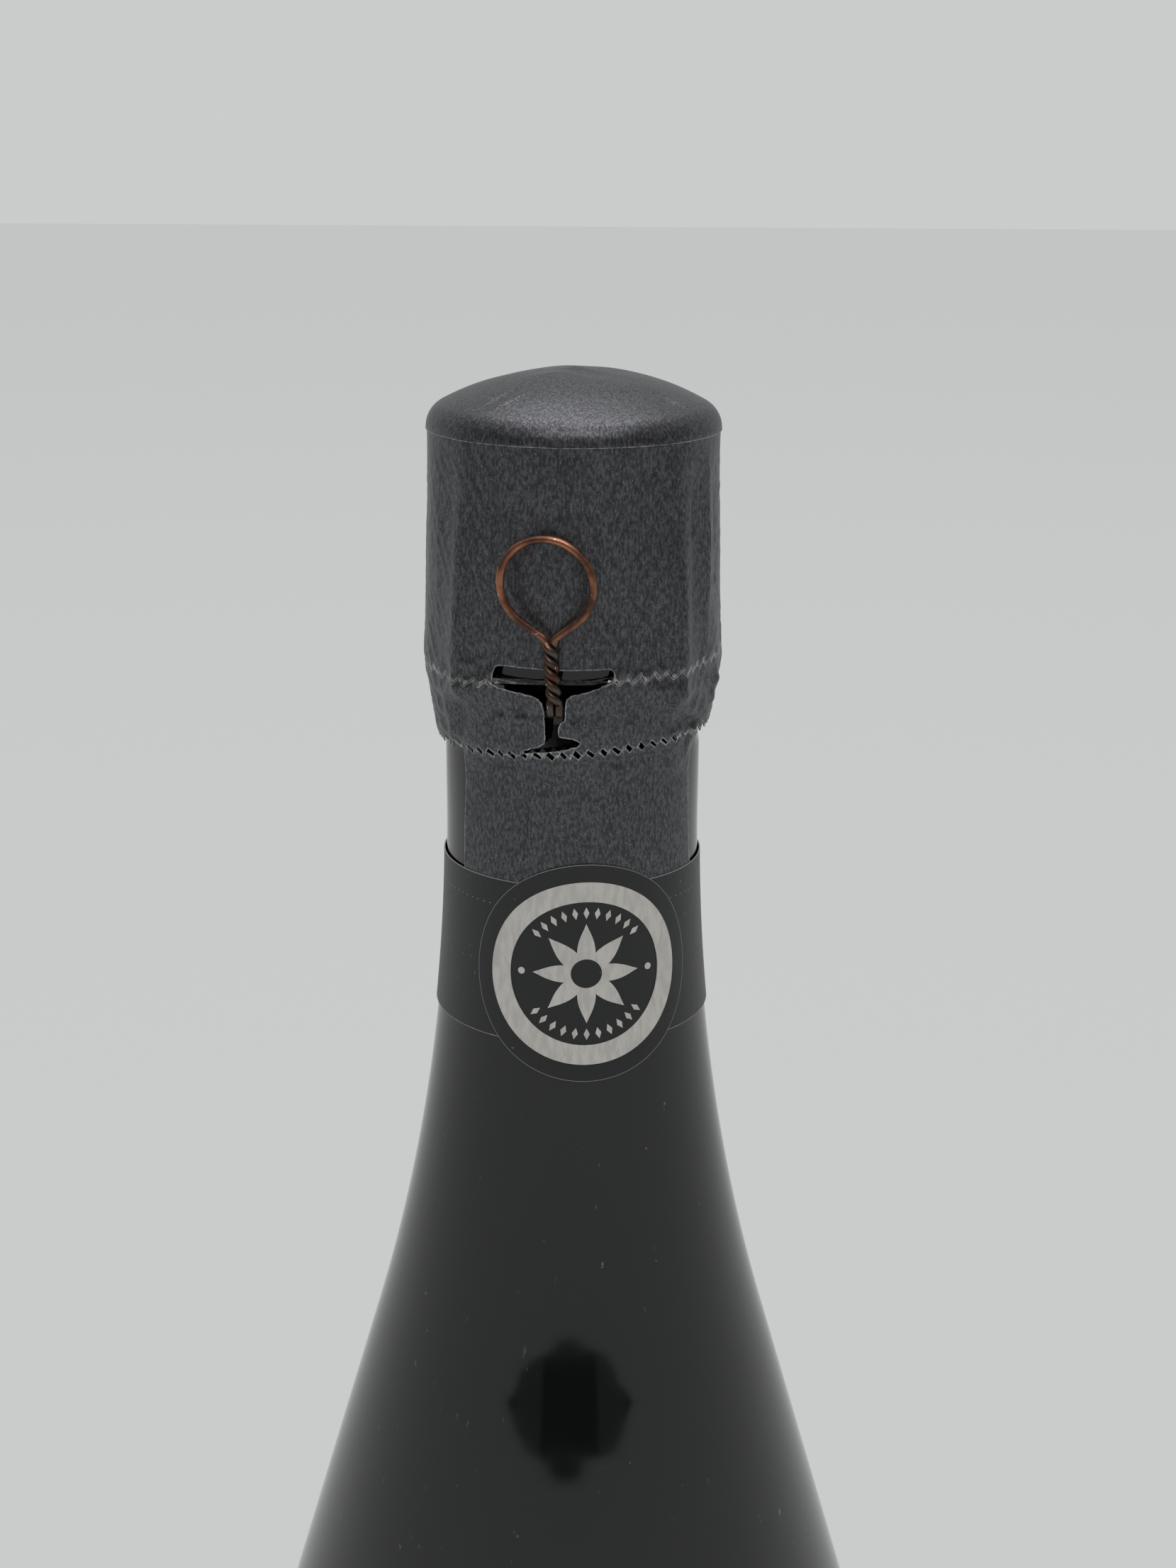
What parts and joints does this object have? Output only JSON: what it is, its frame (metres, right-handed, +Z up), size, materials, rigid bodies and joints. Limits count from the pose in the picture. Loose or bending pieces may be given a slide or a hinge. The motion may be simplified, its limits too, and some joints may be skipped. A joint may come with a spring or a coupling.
{
  "type": "champagne bottle",
  "caption": "Corked sparkling wine bottle with punt and ringed neck, cork, wire cage with folding loop, foil hood, tear band, paper collar with medallion and body labels.",
  "frame": {"origin": "centre of the ring that the bottle stands on, in the plane of the surface under it", "axes": "+Z up along the bottle's axis; the front, with the loop and the medallion, faces -Y, so +X is to the right seen from the front"},
  "size_m": [0.089, 0.0893, 0.319],
  "materials": {
    "dark_glass": "smooth, nearly black green glass",
    "agglomerated_cork": "fine pressed cork granules",
    "natural_cork": "natural cork with pores",
    "cap_steel": "satin lacquered tinplate",
    "cage_wire": "copper-brown lacquered steel wire",
    "charcoal_foil": "charcoal lacquered foil laminate with a fine metallic grain",
    "black_paper": "satin black printed paper",
    "silver_stamping": "brushed silver foil stamping",
    "label_paper": "satin black printed paper"
  },
  "bodies": {
    "bottle": {"glass_bottle": "dark_glass", "tear_band": "charcoal_foil", "foil_tongue_front": "charcoal_foil", "foil_tongue_back": "charcoal_foil", "collar_band": "black_paper", "medallion": "black_paper", "silver_ring": "silver_stamping", "silver_rosette": "silver_stamping", "front_label": "label_paper", "back_label": "label_paper"},
    "cork": {"cork_body": "agglomerated_cork", "cork_disc_upper": "natural_cork", "cork_disc_lower": "natural_cork"},
    "cage": {"metal_cap": "cap_steel", "wire_frame": "cage_wire", "belt_wire": "cage_wire"},
    "loop": {"wire_loop": "cage_wire"},
    "hood": {"hood_disc": "charcoal_foil", "hood_skirt": "charcoal_foil"}
  },
  "joints": [
    {"name": "cork_pull", "type": "slide", "parent": "bottle", "child": "cork", "axis": [0, 0, 1], "range_m": [0, 0.045]},
    {"name": "cage_lift", "type": "slide", "parent": "cork", "child": "cage", "axis": [0, 0, 1], "range_m": [0, 0.04], "deforming": ["wire_frame", "belt_wire"]},
    {"name": "hood_lift", "type": "slide", "parent": "cage", "child": "hood", "axis": [0, 0, 1], "range_m": [0, 0.04]},
    {"name": "loop_fold", "type": "hinge", "parent": "cage", "child": "loop", "pos_m": [-0.00213, -0.01869, 0.28255], "axis": [0.9936, -0.1132, 0], "range_deg": [0, 110]}
  ]
}
